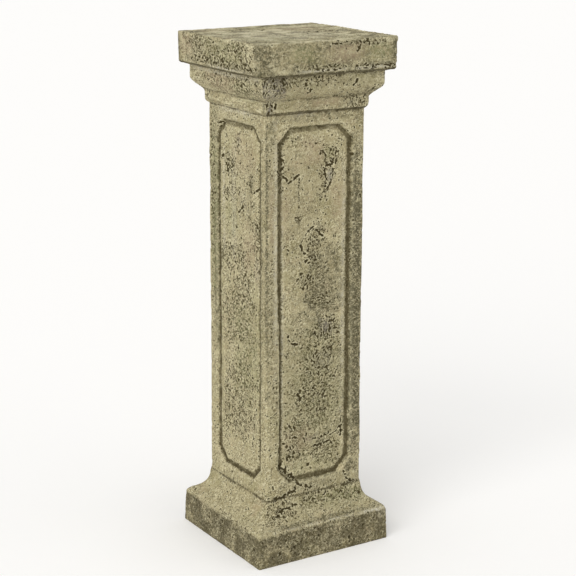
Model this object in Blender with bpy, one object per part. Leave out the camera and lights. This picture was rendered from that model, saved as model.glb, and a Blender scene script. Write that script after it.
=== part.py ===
"""Garden pedestal of cast stone, about a metre tall, that stands by its own weight.

It is one casting: a moulded foot, a square shaft with a sunk panel on each side, and a moulded cap
whose flat top carries a statue, an urn or a bowl. Metres, with +Z up the shaft and the origin at the
centre of the underside. A half is half of the pedestal's width at a level. The outline is drawn once
from the ground up, and each of its points becomes one square ring with round corners.
"""

import math

import bmesh
import bpy

# Overall size
HEIGHT = 1.010
TOP_HALF = 0.1525

# Foot, as (half, height): a block whose sides lean in, a round top edge and a hollow curve
FOOT_HALF = 0.1515
FOOT_ARRIS = 0.0010
FOOT_SHOULDER = (0.1493, 0.0600)
FOOT_TURN = (0.1486, 0.0680)
FOOT_TOP = (0.1423, 0.0715)
HOLLOW_TURN = (0.1132, 0.0830)
HOLLOW_TOP = (0.1118, 0.1125)
FOOT_LIP = (0.1106, 0.1190)

# Shaft, as (half, height)
SHAFT_BOTTOM = (0.1092, 0.1225)
SHAFT_TOP = (0.1082, HEIGHT - 0.1365)

# Cap, as (half, depth below the top): the band over the shaft, an S curve, an upright face and the slab
BAND_UNDER = ((0.1106, 0.1353), (0.1136, 0.1325), (0.1146, 0.1295))
BAND_TOP = (0.1148, 0.1160)
CURVE_PULL_IN = (0.1146, 0.1065)
CURVE_PULL_OUT = (0.1340, 0.0995)
CURVE_OUT = (0.1360, 0.0870)
FACE_TOP = (0.1360, 0.0645)
SOFFIT = (0.1455, 0.0615)
SLAB_TURN = (0.1516, 0.0615)
SLAB_BOTTOM = (0.1516, 0.0555)
SLAB_ARRIS = 0.0020

# Radius of the four upright corners, level by level
FOOT_CORNER = 0.0030
HOLLOW_CORNER = 0.0035
SHAFT_CORNER = 0.0020
CAP_CORNER = 0.0030
SLAB_CORNER = 0.0030
CORNER_STEPS = 3
EDGE_STEPS = 3
CURVE_STEPS = 12

# Sunk panel, the same on each side: a bevelled groove round a field that lies below the shaft's face
PANEL_HALF = 0.0865
PANEL_BOTTOM_Z = 0.1435
PANEL_TOP_Z = 0.8515
PANEL_CLIP = 0.0300
GROOVE_WALL = 0.0065
GROOVE_DEPTH = 0.0060
GROOVE_FLOOR = 0.0040
FIELD_BEVEL = 0.0075
FIELD_DEPTH = 0.0040
CUTTER_REACH = 0.0040
SIDES = 4

# Finish: dry khaki cast stone
STONE_COLOUR = "A39873"
STONE_ROUGHNESS = 0.92
CREASE_ANGLE = math.radians(38)


def clear_scene():
    """Remove whatever the open scene holds."""
    for old in list(bpy.data.objects):
        bpy.data.objects.remove(old, do_unlink=True)


def ease(points, steps):
    """Points along the curve that runs from the first point to the last and bends to those between."""
    made = []
    for step in range(steps + 1):
        share = step / steps
        level = points
        while len(level) > 1:
            level = [
                tuple(a + (b - a) * share for a, b in zip(first, second))
                for first, second in zip(level, level[1:])
            ]
        made.append(level[0])
    return made


def with_corner(points, radius):
    """The (half, height) points as (half, height, corner radius) points."""
    return [(half, z, radius) for half, z in points]


def foot_outline():
    """The foot block, its rounded top edge, the hollow above it and the small lip at the shaft."""
    block = [(FOOT_HALF - FOOT_ARRIS, 0.0), (FOOT_HALF, FOOT_ARRIS)]
    shoulder = ease([FOOT_SHOULDER, FOOT_TURN, FOOT_TOP], EDGE_STEPS)
    hollow = ease([FOOT_TOP, HOLLOW_TURN, HOLLOW_TOP], CURVE_STEPS)
    curved = with_corner(hollow[1:] + [FOOT_LIP], HOLLOW_CORNER)
    return with_corner(block + shoulder, FOOT_CORNER) + curved


def shaft_outline():
    """The two ends of the shaft, which tapers by a millimetre."""
    return with_corner([SHAFT_BOTTOM, SHAFT_TOP], SHAFT_CORNER)


def below_top(points):
    """The (half, depth below the top) points as (half, height) points."""
    return [(half, HEIGHT - depth) for half, depth in points]


def cap_outline():
    """The band over the shaft, the S curve and the upright face under the slab."""
    curve = ease([BAND_TOP, CURVE_PULL_IN, CURVE_PULL_OUT, CURVE_OUT], CURVE_STEPS)
    return with_corner(below_top([*BAND_UNDER, *curve, FACE_TOP]), CAP_CORNER)


def slab_outline():
    """The slab's round lower edge, its sides, which lean out a little, and the flat top."""
    lower = ease([SOFFIT, SLAB_TURN, SLAB_BOTTOM], EDGE_STEPS)
    upper = ease([(TOP_HALF, SLAB_ARRIS), (TOP_HALF, 0.0), (TOP_HALF - SLAB_ARRIS, 0.0)], EDGE_STEPS)
    return with_corner(below_top(lower + upper), SLAB_CORNER)


def square_ring(mesh, half, z, corner):
    """A ring of vertices round a square of this half width, with a short arc at each corner."""
    ring = []
    turn = math.tau / SIDES
    for side in range(SIDES):
        start = turn * side
        reach = math.hypot(half - corner, half - corner)
        centre_x = reach * math.cos(start + turn / 2)
        centre_y = reach * math.sin(start + turn / 2)
        for step in range(CORNER_STEPS + 1):
            angle = start + turn * step / CORNER_STEPS
            x = centre_x + corner * math.cos(angle)
            y = centre_y + corner * math.sin(angle)
            ring.append(mesh.verts.new((x, y, z)))
    return ring


def ring_edges(mesh, ring):
    """The edges that close this ring of vertices."""
    return [mesh.edges.new((a, b)) for a, b in zip(ring, ring[1:] + ring[:1])]


def build_body():
    """The whole casting without its panels: one ring for each point of the outline, skinned and capped."""
    mesh = bmesh.new()
    outline = foot_outline() + shaft_outline() + cap_outline() + slab_outline()
    rings = [square_ring(mesh, half, z, corner) for half, z, corner in outline]
    edges = [ring_edges(mesh, ring) for ring in rings]
    for lower, upper in zip(edges, edges[1:]):
        bmesh.ops.bridge_loops(mesh, edges=lower + upper)
    mesh.faces.new(rings[0])
    mesh.faces.new(rings[-1])
    bmesh.ops.recalc_face_normals(mesh, faces=mesh.faces[:])
    return mesh


def shaft_half(z):
    """Half of the shaft's width at a height, along its taper."""
    (bottom_half, bottom_z), (top_half, top_z) = SHAFT_BOTTOM, SHAFT_TOP
    share = (z - bottom_z) / (top_z - bottom_z)
    return bottom_half + (top_half - bottom_half) * share


def panel_corners():
    """The panel's outline at the shaft's face, as (x, z): a tall rectangle with its corners cut off."""
    rail, stile = PANEL_HALF - PANEL_CLIP, PANEL_HALF
    low, high = PANEL_BOTTOM_Z, PANEL_TOP_Z
    right = [(rail, low), (stile, low + PANEL_CLIP), (stile, high - PANEL_CLIP), (rail, high)]
    left = [(-x, z) for x, z in reversed(right)]
    return right + left


def panel_block(mesh):
    """A flat block on the panel's outline, with its mouth flared to follow the groove's outer wall."""
    face = mesh.faces.new([mesh.verts.new((x, 0.0, z)) for x, z in panel_corners()])
    flare = CUTTER_REACH * GROOVE_WALL / GROOVE_DEPTH
    made = bmesh.ops.extrude_face_region(mesh, geom=[face])["geom"]
    middle_z = (PANEL_BOTTOM_Z + PANEL_TOP_Z) / 2
    half_height = (PANEL_TOP_Z - PANEL_BOTTOM_Z) / 2
    for vert in (item for item in made if isinstance(item, bmesh.types.BMVert)):
        vert.co.y = -CUTTER_REACH
        vert.co.x *= 1 + flare / PANEL_HALF
        vert.co.z = middle_z + (vert.co.z - middle_z) * (1 + flare / half_height)
    bmesh.ops.recalc_face_normals(mesh, faces=mesh.faces[:])


def sink_field(mesh):
    """Step the block's back face in to form the groove and the raised field."""
    field = max(mesh.faces, key=lambda item: item.calc_center_median().y)
    for width, depth in (
        (GROOVE_WALL, GROOVE_DEPTH),
        (GROOVE_FLOOR, 0.0),
        (FIELD_BEVEL, FIELD_DEPTH - GROOVE_DEPTH),
    ):
        bmesh.ops.inset_region(mesh, faces=[field], thickness=width, depth=depth, use_even_offset=True)


def build_panel_cutter():
    """The hollow of the four panels as a solid, drawn for one side and turned to the other three."""
    mesh = bmesh.new()
    panel_block(mesh)
    sink_field(mesh)
    for vert in mesh.verts:
        vert.co.y -= shaft_half(vert.co.z)
    bmesh.ops.spin(
        mesh,
        geom=mesh.verts[:] + mesh.edges[:] + mesh.faces[:],
        axis=(0, 0, 1),
        cent=(0, 0, 0),
        angle=math.tau * (SIDES - 1) / SIDES,
        steps=SIDES - 1,
        use_duplicate=True,
    )
    bmesh.ops.recalc_face_normals(mesh, faces=mesh.faces[:])
    return mesh


def add_object(name, mesh):
    """Put a finished bmesh in the scene as an object of this name."""
    data = bpy.data.meshes.new(name)
    mesh.to_mesh(data)
    mesh.free()
    made = bpy.data.objects.new(name, data)
    bpy.context.scene.collection.objects.link(made)
    return made


def linear(channel):
    """One sRGB channel, 0 to 1, as the linear value that a shader takes."""
    return channel / 12.92 if channel <= 0.04045 else ((channel + 0.055) / 1.055) ** 2.4


def stone_material():
    """Cast stone: dry, matt and khaki."""
    material = bpy.data.materials.new("cast_stone")
    material.use_nodes = True
    shader = material.node_tree.nodes["Principled BSDF"]
    channels = [int(STONE_COLOUR[i : i + 2], 16) / 255 for i in (0, 2, 4)]
    colour = [linear(channel) for channel in channels] + [1.0]
    shader.inputs["Base Color"].default_value = colour
    shader.inputs["Roughness"].default_value = STONE_ROUGHNESS
    shader.inputs["Metallic"].default_value = 0.0
    material.diffuse_color = colour
    return material


def cut_panels(body):
    """Sink the panel into each side of the shaft."""
    cutter = add_object("panel_cutter", build_panel_cutter())
    cutter.hide_render = True
    cutter.display_type = "WIRE"
    cut = body.modifiers.new("panels", "BOOLEAN")
    cut.object = cutter
    cut.operation = "DIFFERENCE"
    cut.solver = "EXACT"


def build_pedestal():
    """The pedestal as one object, with its finish."""
    body = add_object("pedestal", build_body())
    cut_panels(body)
    body.data.materials.append(stone_material())
    body.data.shade_smooth()
    body.data.set_sharp_from_angle(angle=CREASE_ANGLE)
    flat = body.modifiers.new("flat_faces_stay_flat", "WEIGHTED_NORMAL")
    flat.keep_sharp = True
    return body


def main():
    """Build the part in an empty scene."""
    clear_scene()
    build_pedestal()


main()
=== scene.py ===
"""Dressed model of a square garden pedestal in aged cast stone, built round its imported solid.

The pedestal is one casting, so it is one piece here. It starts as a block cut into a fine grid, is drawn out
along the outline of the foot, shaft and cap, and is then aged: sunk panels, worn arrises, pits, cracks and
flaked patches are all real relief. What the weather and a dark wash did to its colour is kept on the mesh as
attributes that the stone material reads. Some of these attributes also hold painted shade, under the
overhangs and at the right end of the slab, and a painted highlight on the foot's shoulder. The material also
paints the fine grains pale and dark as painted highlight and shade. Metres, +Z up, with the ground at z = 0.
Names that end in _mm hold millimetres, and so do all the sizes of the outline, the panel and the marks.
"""

import logging
import math
from dataclasses import dataclass, replace
from enum import Enum, IntEnum
from typing import ClassVar, TypeVar

import bmesh
import bpy
import numpy as np
from mathutils import Matrix
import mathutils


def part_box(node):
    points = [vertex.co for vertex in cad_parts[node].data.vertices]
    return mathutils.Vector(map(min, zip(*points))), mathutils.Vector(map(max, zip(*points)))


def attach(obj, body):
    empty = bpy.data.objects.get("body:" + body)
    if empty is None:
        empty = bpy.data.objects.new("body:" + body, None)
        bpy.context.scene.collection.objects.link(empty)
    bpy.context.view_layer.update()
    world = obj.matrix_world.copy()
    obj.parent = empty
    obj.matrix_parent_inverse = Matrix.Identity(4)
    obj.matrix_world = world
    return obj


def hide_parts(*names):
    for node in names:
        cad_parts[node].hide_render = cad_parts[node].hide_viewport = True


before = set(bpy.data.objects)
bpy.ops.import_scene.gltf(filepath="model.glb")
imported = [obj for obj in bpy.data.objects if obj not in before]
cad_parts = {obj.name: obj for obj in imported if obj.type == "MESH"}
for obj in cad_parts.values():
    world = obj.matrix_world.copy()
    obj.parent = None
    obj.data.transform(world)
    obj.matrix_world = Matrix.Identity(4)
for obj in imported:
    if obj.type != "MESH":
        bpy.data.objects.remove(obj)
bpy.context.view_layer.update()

LOG = logging.getLogger("pedestal")
Array = np.ndarray
Point = tuple[float, float]
MM = 0.001
BODY = "root"
SOLID_NODE = "pedestal"


class Side(Enum):
    """The sides that show, by the direction that each faces. All but the last are upright."""

    FRONT = (0.0, -1.0, 0.0)
    RIGHT = (1.0, 0.0, 0.0)
    BACK = (0.0, 1.0, 0.0)
    LEFT = (-1.0, 0.0, 0.0)
    TOP = (0.0, 0.0, 1.0)

    @property
    def index(self) -> int:
        """The side's number."""
        return list(Side).index(self)

    @property
    def outward(self) -> Array:
        """The direction that the side faces."""
        return np.array(self.value)

    @property
    def rightward(self) -> Array:
        """The direction to the right for someone who looks at the side."""
        x, y, _ = self.value
        return np.array([1.0, 0.0, 0.0] if self is Side.TOP else [-y, x, 0.0])

    @property
    def upward(self) -> Array:
        """The direction up the side, and to the back on the top."""
        return np.array([0.0, 1.0, 0.0] if self is Side.TOP else [0.0, 0.0, 1.0])


class Tint(Enum):
    """What lies on the stone in patches, as an sRGB colour. A few of the dirt patches also hold painted
    shade, and one chalk line is a painted highlight.
    """

    DIRT = "#5B5640"
    MOSS = "#7C7E55"
    SLATE = "#6E6866"
    ASH = "#9C978A"
    CLAY = "#AA967A"
    CHALK = "#C9C3AE"

    @property
    def attribute(self) -> str:
        """The name under which its amount is kept on the mesh."""
        return self.name.lower()


def smooth_step(values: Array, low: float, high: float) -> Array:
    """Ease from 0 at low to 1 at high.

    Args:
        values: what to ease.
        low: where the result leaves 0.
        high: where it reaches 1. It may be less than low.

    Returns:
        The eased values.
    """
    share = np.clip((values - low) / (high - low), 0.0, 1.0)
    return share * share * (3.0 - 2.0 * share)


@dataclass(frozen=True)
class Wave:
    """Unevenness of one kind.

    Attributes:
        strength: how strong it is, in mm where it moves the surface.
        size: distance between its blobs, or one distance for each axis.
        field: the random field that it is read from.
        octaves: how many sizes are added, each half of the last, on as many fields from that one on.
    """

    strength: float
    size: float | tuple[float, float, float]
    field: int
    octaves: int = 1


@dataclass(frozen=True)
class Pitting:
    """Round pits that are scattered at random.

    Attributes:
        depth: depth of the deepest.
        cell: size of the cells of space that hold one pit at most. A pit is a fifth to a half of it in
            radius.
        density: share of the cells that hold a pit where the stone is most finely pitted.
        field: the random field that the pits are drawn from.
    """

    depth: float
    cell: float
    density: float
    field: int


@dataclass(frozen=True)
class Noise:
    """Random fields that are the same on each run, read at points in space.

    Attributes:
        seed: the number that all of its fields grow from.
        period: cells after which a field repeats.
    """

    seed: int
    period: int = 96

    def _table(self, field: int, channels: int = 1) -> Array:
        """A block of random numbers from 0 to 1, with some for each cell."""
        shape = (self.period, self.period, self.period, channels)
        return np.random.default_rng((self.seed, field)).random(shape, dtype=np.float32)

    def smooth(self, points: Array, size: float | Array, field: int) -> Array:
        """Soft blobs from -1 to 1.

        Args:
            points: where to read them, one row for each point.
            size: how far apart the blobs are, or one distance for each axis.
            field: which of the many fields to read.

        Returns:
            One value for each point.
        """
        table = self._table(field)[..., 0]
        scaled = points / np.asarray(size, np.float32) + 1000.37
        cell = np.floor(scaled).astype(np.int64)
        share = (scaled - cell).astype(np.float32)
        ease = share * share * share * (share * (share * 6.0 - 15.0) + 10.0)
        total = np.zeros(len(points), np.float32)
        for corner in np.ndindex(2, 2, 2):
            at = (cell + corner) % self.period
            weight = np.prod(np.where(corner, ease, 1.0 - ease), axis=1)
            total += weight * table[at[:, 0], at[:, 1], at[:, 2]]
        return total * 2.0 - 1.0

    def read(self, points: Array, wave: Wave) -> Array:
        """Soft blobs with finer and fainter ones on them.

        Args:
            points: where to read them.
            wave: how large and how strong they are, and which fields to read.

        Returns:
            One value for each point, from about minus the wave's strength to its strength.
        """
        total = np.zeros(len(points), np.float32)
        for octave in range(wave.octaves):
            finer = np.divide(wave.size, 2**octave)
            total += self.smooth(points, finer, wave.field + octave) * 0.5**octave
        return total / (2.0 - 0.5 ** (wave.octaves - 1)) * wave.strength

    def pits(self, points: Array, pitting: Pitting, amount: Array, fewer: Array) -> Array:
        """How deep each point lies in a pit.

        Args:
            points: where to read the pits.
            pitting: what the pits are like.
            amount: how finely pitted the stone is at each point, from 0 to 1.
            fewer: what that is multiplied by.

        Returns:
            One depth for each point.
        """
        cell, field, density = pitting.cell, pitting.field, amount * pitting.density * fewer
        table = self._table(field, 5)
        bent = np.stack([self.smooth(points, cell * 0.6, field + 40 + axis) for axis in range(3)], axis=1)
        scaled = (points + bent * cell * 0.22) / cell + 1000.0
        base = np.floor(scaled - 0.5).astype(np.int64)
        deepest = np.zeros(len(points), np.float32)
        for corner in np.ndindex(2, 2, 2):
            at = (base + corner) % self.period
            drawn = table[at[:, 0], at[:, 1], at[:, 2]]
            radius = 0.2 + 0.3 * drawn[:, 3]
            offset = scaled - (base + corner) - (0.25 + 0.5 * drawn[:, :3])
            inside = 1.0 - np.sum(offset * offset, axis=1) / radius**2
            depth = np.where(drawn[:, 4] < density, np.clip(inside, 0.0, 1.0) * radius * 2.0, 0.0)
            deepest = np.maximum(deepest, depth.astype(np.float32))
        return deepest * pitting.depth


def ease_curve(points: list[Point], steps: int) -> list[Point]:
    """Points along the curve that runs from the first point to the last and bends to those between.

    Args:
        points: the ends of the curve and the points that pull it.
        steps: how many pieces it has.

    Returns:
        The points on the curve.
    """
    made = []
    for step in range(steps + 1):
        share = step / steps
        level = points
        while len(level) > 1:
            level = [
                (a[0] + (b[0] - a[0]) * share, a[1] + (b[1] - a[1]) * share)
                for a, b in zip(level, level[1:])
            ]
        made.append(level[0])
    return made


@dataclass(frozen=True)
class Outline:
    """Half of the pedestal's width at each height.

    A pair is a half width with its height above the ground, or with its depth below the top for the parts
    of the cap. A corner is the radius of the four upright corners of a part.

    Attributes:
        height: overall height.
        top: half width of the slab at its upper edge, before it is worn.
        fine: distance between rows of the mesh on the mouldings.
        coarse: distance between rows on the shaft.
    """

    height: float
    top: float
    fine: float
    coarse: float
    foot: float = 151.5
    foot_arris: float = 0.3
    foot_shoulder: Point = (149.3, 60.0)
    foot_turn: Point = (148.6, 68.0)
    foot_top: Point = (142.3, 71.5)
    hollow_turn: Point = (113.2, 83.0)
    hollow_top: Point = (111.8, 112.5)
    lip: Point = (110.6, 119.0)
    shaft_bottom: Point = (109.2, 122.5)
    shaft_top: Point = (108.2, 136.5)
    band_under: tuple[Point, ...] = ((110.6, 135.3), (113.6, 132.5), (114.6, 129.5))
    band_top: Point = (114.8, 116.0)
    pull_in: Point = (114.6, 106.5)
    pull_out: Point = (134.0, 99.5)
    curve_out: Point = (136.0, 87.0)
    face_top: Point = (136.0, 64.5)
    soffit: Point = (145.5, 61.5)
    slab_bottom: Point = (151.6, 55.5)
    arris: float = 2.0
    foot_corner: float = 3.0
    hollow_corner: float = 3.5
    shaft_corner: float = 2.0
    moulding_corner: float = 3.01
    slab_corner: float = 3.02

    def _cap(self, *points: Point) -> list[Point]:
        """Points given by their depth below the top, as points with a height."""
        return [(half, self.height - depth) for half, depth in points]

    def _stretches(self) -> list[tuple[float, list[Point]]]:
        """The outline from the ground up, part by part.

        Returns:
            The radius of each part's corners, and the points of the part.
        """
        foot = [(self.foot - self.foot_arris, 0.0), (self.foot, self.foot_arris)]
        shoulder = ease_curve([self.foot_shoulder, self.foot_turn, self.foot_top], 8)
        hollow = ease_curve([self.foot_top, self.hollow_turn, self.hollow_top], 24)
        curve = ease_curve(self._cap(self.band_top, self.pull_in, self.pull_out, self.curve_out), 24)
        under = self._cap(self.soffit, (self.slab_bottom[0], self.soffit[1]), self.slab_bottom)
        upper = self._cap((self.top, self.arris), (self.top, 0.0), (self.top - self.arris, 0.0))
        return [
            (self.foot_corner, foot + shoulder),
            (self.hollow_corner, hollow[1:] + [self.lip]),
            (self.shaft_corner, [self.shaft_bottom] + self._cap(self.shaft_top)),
            (self.moulding_corner, self._cap(*self.band_under) + curve + self._cap(self.face_top)),
            (self.slab_corner, ease_curve(under, 6) + ease_curve(upper, 4)),
        ]

    def rows(self) -> tuple[Array, Array, Array]:
        """The outline as the rows of the mesh, from the ground up.

        Returns:
            The half width, the height and the corner radius of each row.
        """
        parts = self._stretches()
        along = np.array([point for _, part in parts for point in part])
        corners = np.array([corner for corner, part in parts for _ in part])
        steps = np.hypot(*np.diff(along, axis=0).T)
        spacing = np.full(len(steps), self.fine)
        spacing[np.argmax(steps)] = self.coarse
        travelled = np.concatenate([[0.0], np.cumsum(steps / spacing)])
        wanted = np.linspace(0.0, travelled[-1], int(travelled[-1]) + 1)
        half, height = (np.interp(wanted, travelled, along[:, axis]) for axis in (0, 1))
        return half, height, np.interp(wanted, travelled, corners)


@dataclass(frozen=True)
class Panel:
    """The sunk panel on a side of the shaft: a worn groove round a field that lies a little lower.

    Attributes:
        half: half width at the shaft's face.
        low: height of its lower edge.
        high: height of its upper edge.
        clip: how far each corner is cut back along both edges.
        wall: width of the groove's sloping outer wall.
        groove: depth of the groove.
        floor: width of the groove's floor.
        bevel: width of the slope up to the field.
        field: depth of the field.
    """

    half: float = 86.5
    low: float = 143.5
    high: float = 851.5
    clip: float = 30.0
    wall: float = 6.0
    groove: float = 6.0
    floor: float = 5.5
    bevel: float = 6.5
    field: float = 4.0

    def inside(self, across: Array, height: Array) -> Array:
        """How far each point lies inside the panel's outer edge.

        Args:
            across: distance from the middle of the side.
            height: height above the ground.

        Returns:
            The distance, negative outside the panel.
        """
        side = self.half - np.abs(across)
        end = np.minimum(height - self.low, self.high - height)
        corner = (side + end - self.clip) / math.sqrt(2.0)
        return np.minimum(np.minimum(side, end), corner)

    def depth(self, inside: Array) -> Array:
        """How far the surface lies below the shaft's face, for these distances inside the outer edge."""
        fall = smooth_step(inside, 0.0, self.wall)
        rise = smooth_step(inside, self.wall + self.floor, self.wall + self.floor + self.bevel)
        return fall * self.groove - rise * (self.groove - self.field)


@dataclass
class Skin:
    """The fine mesh of the casting while it is being shaped.

    Attributes:
        place: where each vertex is, in mm.
        normal: the way out of the plain outline at each vertex.
        side: the number of the side that each vertex is on, or -1 on the underside.
        across: distance to the right of the middle of its side.
        height: height above the ground, or distance to the back on the top.
        around: four neighbours of each vertex.
    """

    place: Array
    normal: Array
    side: Array
    across: Array
    height: Array
    around: Array

    def on(self, *sides: Side) -> Array:
        """True where a vertex is on one of these sides."""
        return np.isin(self.side, [side.index for side in sides])

    def softened(self, values: Array, passes: int) -> Array:
        """The values with each one drawn towards its neighbours' mean, again and again.

        Args:
            values: one row for each vertex.
            passes: how many times.

        Returns:
            The softened values.
        """
        soft = values.astype(np.float32)
        for _ in range(passes):
            soft = 0.5 * soft + 0.125 * sum(soft[self.around[:, which]] for which in range(4))
        return soft

    def sink(self, depth: Array) -> None:
        """Push the surface in along its normals by these depths."""
        self.place -= self.normal * depth[:, None]

    def hollow(self, passes: int) -> Array:
        """How far each vertex lies below the softened surface: positive in a hollow."""
        offset = self.softened(self.place, passes) - self.place
        return np.sum(offset * self.normal, axis=1)


@dataclass(frozen=True)
class Mark:
    """Something at one place on a side.

    Attributes:
        side: where it is.
        across: how far its middle lies to the right of the side's middle.
        height: how high its middle lies, or how far to the back on the top.
        wide: its width.
        tall: its own height.
    """

    side: Side
    across: float
    height: float
    wide: float
    tall: float


@dataclass(frozen=True)
class Pit(Mark):
    """An oval hollow.

    Attributes:
        deep: depth. A negative depth is a lump.
        turn: degrees that it is turned anticlockwise.
    """

    deep: float
    turn: float = 0.0

    @property
    def reach(self) -> float:
        """How far from its middle it can be felt."""
        return max(self.wide, self.tall) * 0.7

    def depth(self, across: Array, height: Array, ragged: Array) -> Array:
        """Depth at the points given.

        Args:
            across: their distances to the right of the side's middle.
            height: their heights.
            ragged: noise that breaks up the edge.

        Returns:
            The depth at each.
        """
        angle = math.radians(self.turn)
        right = (across - self.across) * math.cos(angle) + (height - self.height) * math.sin(angle)
        up = (height - self.height) * math.cos(angle) - (across - self.across) * math.sin(angle)
        span = np.hypot(right / (self.wide / 2), up / (self.tall / 2)) + ragged * 0.35
        return self.deep * smooth_step(span, 1.05, 0.35)


@dataclass(frozen=True)
class Crack:
    """A thin open line on a side.

    Attributes:
        side: where it is.
        path: the points that it passes, as (across, height).
        wide: width at the surface.
        deep: depth.
    """

    side: Side
    path: tuple[Point, ...]
    wide: float
    deep: float

    @property
    def across(self) -> float:
        """The middle of its points, sideways."""
        return sum(point[0] for point in self.path) / len(self.path)

    @property
    def height(self) -> float:
        """The middle of its points, upwards."""
        return sum(point[1] for point in self.path) / len(self.path)

    @property
    def reach(self) -> float:
        """How far from its middle it can be felt."""
        return max(math.dist(point, (self.across, self.height)) for point in self.path) + self.wide + 2.0

    def depth(self, across: Array, height: Array, ragged: Array) -> Array:
        """Depth at the points given, as for a pit.

        Args:
            across: their distances to the right of the side's middle.
            height: their heights.
            ragged: noise that makes the line narrower and wider.

        Returns:
            The depth at each.
        """
        nearest = np.full(len(across), np.inf)
        for (x0, z0), (x1, z1) in zip(self.path, self.path[1:]):
            length = max((x1 - x0) ** 2 + (z1 - z0) ** 2, 1e-6)
            share = np.clip(((across - x0) * (x1 - x0) + (height - z0) * (z1 - z0)) / length, 0.0, 1.0)
            gap = np.hypot(across - x0 - share * (x1 - x0), height - z0 - share * (z1 - z0))
            nearest = np.minimum(nearest, gap)
        half = self.wide / 2
        return self.deep * smooth_step(nearest + ragged * half * 1.8, half * 1.3, half * 0.3)


@dataclass(frozen=True)
class Swarm(Mark):
    """An oval patch of small pits, which is also where the stone is most finely pitted.

    Attributes:
        count: how many pits are cut.
        size: mean width of a pit.
        deep: mean depth of a pit.
        slant: degrees that the pits are turned.
        SPREAD: how many times larger than the swarm its finely pitted stone is.
        PITTED: how finely pitted it is.
    """

    count: int
    size: float = 4.0
    deep: float = 1.6
    slant: float = 0.0
    SPREAD: ClassVar[float] = 1.3
    PITTED: ClassVar[float] = 0.8

    def pits(self, draw: np.random.Generator) -> list[Pit]:
        """The pits of the patch.

        Args:
            draw: where the random numbers come from, the same ones on each run.

        Returns:
            As many pits as the swarm counts.
        """
        made = []
        for _ in range(self.count):
            angle, span = draw.uniform(0, math.tau), math.sqrt(draw.uniform())
            size = self.size * draw.uniform(0.6, 1.5)
            across = self.across + math.cos(angle) * span * self.wide / 2
            height = self.height + math.sin(angle) * span * self.tall / 2
            deep, turn = self.deep * draw.uniform(0.5, 1.3), self.slant + draw.uniform(-40, 40)
            made.append(Pit(self.side, across, height, size, size * draw.uniform(0.9, 2.2), deep, turn))
        return made

    def pitted(self) -> "Stain":
        """The patch of finely pitted stone that the swarm lies in."""
        wide, tall = self.wide * self.SPREAD, self.tall * self.SPREAD
        return Stain(self.side, self.across, self.height, wide, tall, self.PITTED)


@dataclass(frozen=True)
class Stain(Mark):
    """A soft patch, like a rectangle with very round corners.

    Attributes:
        strength: how strong it is. At 1 it has its full effect.
    """

    strength: float

    def amount(self, skin: Skin, ragged: Array) -> Array:
        """How much of the stain each vertex takes.

        Args:
            skin: the mesh.
            ragged: noise that breaks up the patch's edge.

        Returns:
            One value for each vertex, from 0 to strength.
        """
        right = (skin.across - self.across) / (self.wide / 2)
        up = (skin.height - self.height) / (self.tall / 2)
        amount = self.strength * smooth_step((right**4 + up**4) ** 0.25 + ragged * 0.5, 1.15, 0.45)
        return np.where(skin.on(self.side), amount, 0.0)


@dataclass(frozen=True)
class Seam:
    """A level dark line where two parts of the outline meet: dirt that collects there, and under the
    overhangs of the slab and the band also painted shade.

    Attributes:
        sides: the sides that it runs along.
        height: where it is.
        above: how far up it fades.
        below: how far down it fades.
        strength: how dark it is, from 0 to 1.
        plateau: how far up and down it stays at its full strength.
    """

    sides: tuple[Side, ...]
    height: float
    above: float
    below: float
    strength: float
    plateau: float = 0.0

    def amount(self, skin: Skin, uneven: Array) -> Array:
        """How much of the seam's dark each vertex takes: dirt, and under the overhangs painted shade.

        Args:
            skin: the mesh.
            uneven: noise that moves the seam up and down and makes it patchy.

        Returns:
            One value for each vertex.
        """
        rise = skin.height - self.height + uneven * self.above * 0.5
        beyond = np.clip(np.abs(rise) - self.plateau, 0.0, None)
        fade = np.clip(1.0 - beyond / np.where(rise > 0.0, self.above, self.below), 0.0, 1.0)
        return np.where(skin.on(*self.sides), self.strength * fade * (0.85 + 0.4 * uneven), 0.0)


Kind = TypeVar("Kind", bound=Mark)
Rows = dict[Side, tuple[tuple[float, ...], ...]]


def marks(kind: type[Kind], rows: Rows) -> tuple[Kind, ...]:
    """Marks of one kind, side by side, from rows that hold what follows the side in its fields."""
    return tuple(kind(side, *row) for side, each in rows.items() for row in each)


F, L, R, B, T = Side.FRONT, Side.LEFT, Side.RIGHT, Side.BACK, Side.TOP

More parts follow.
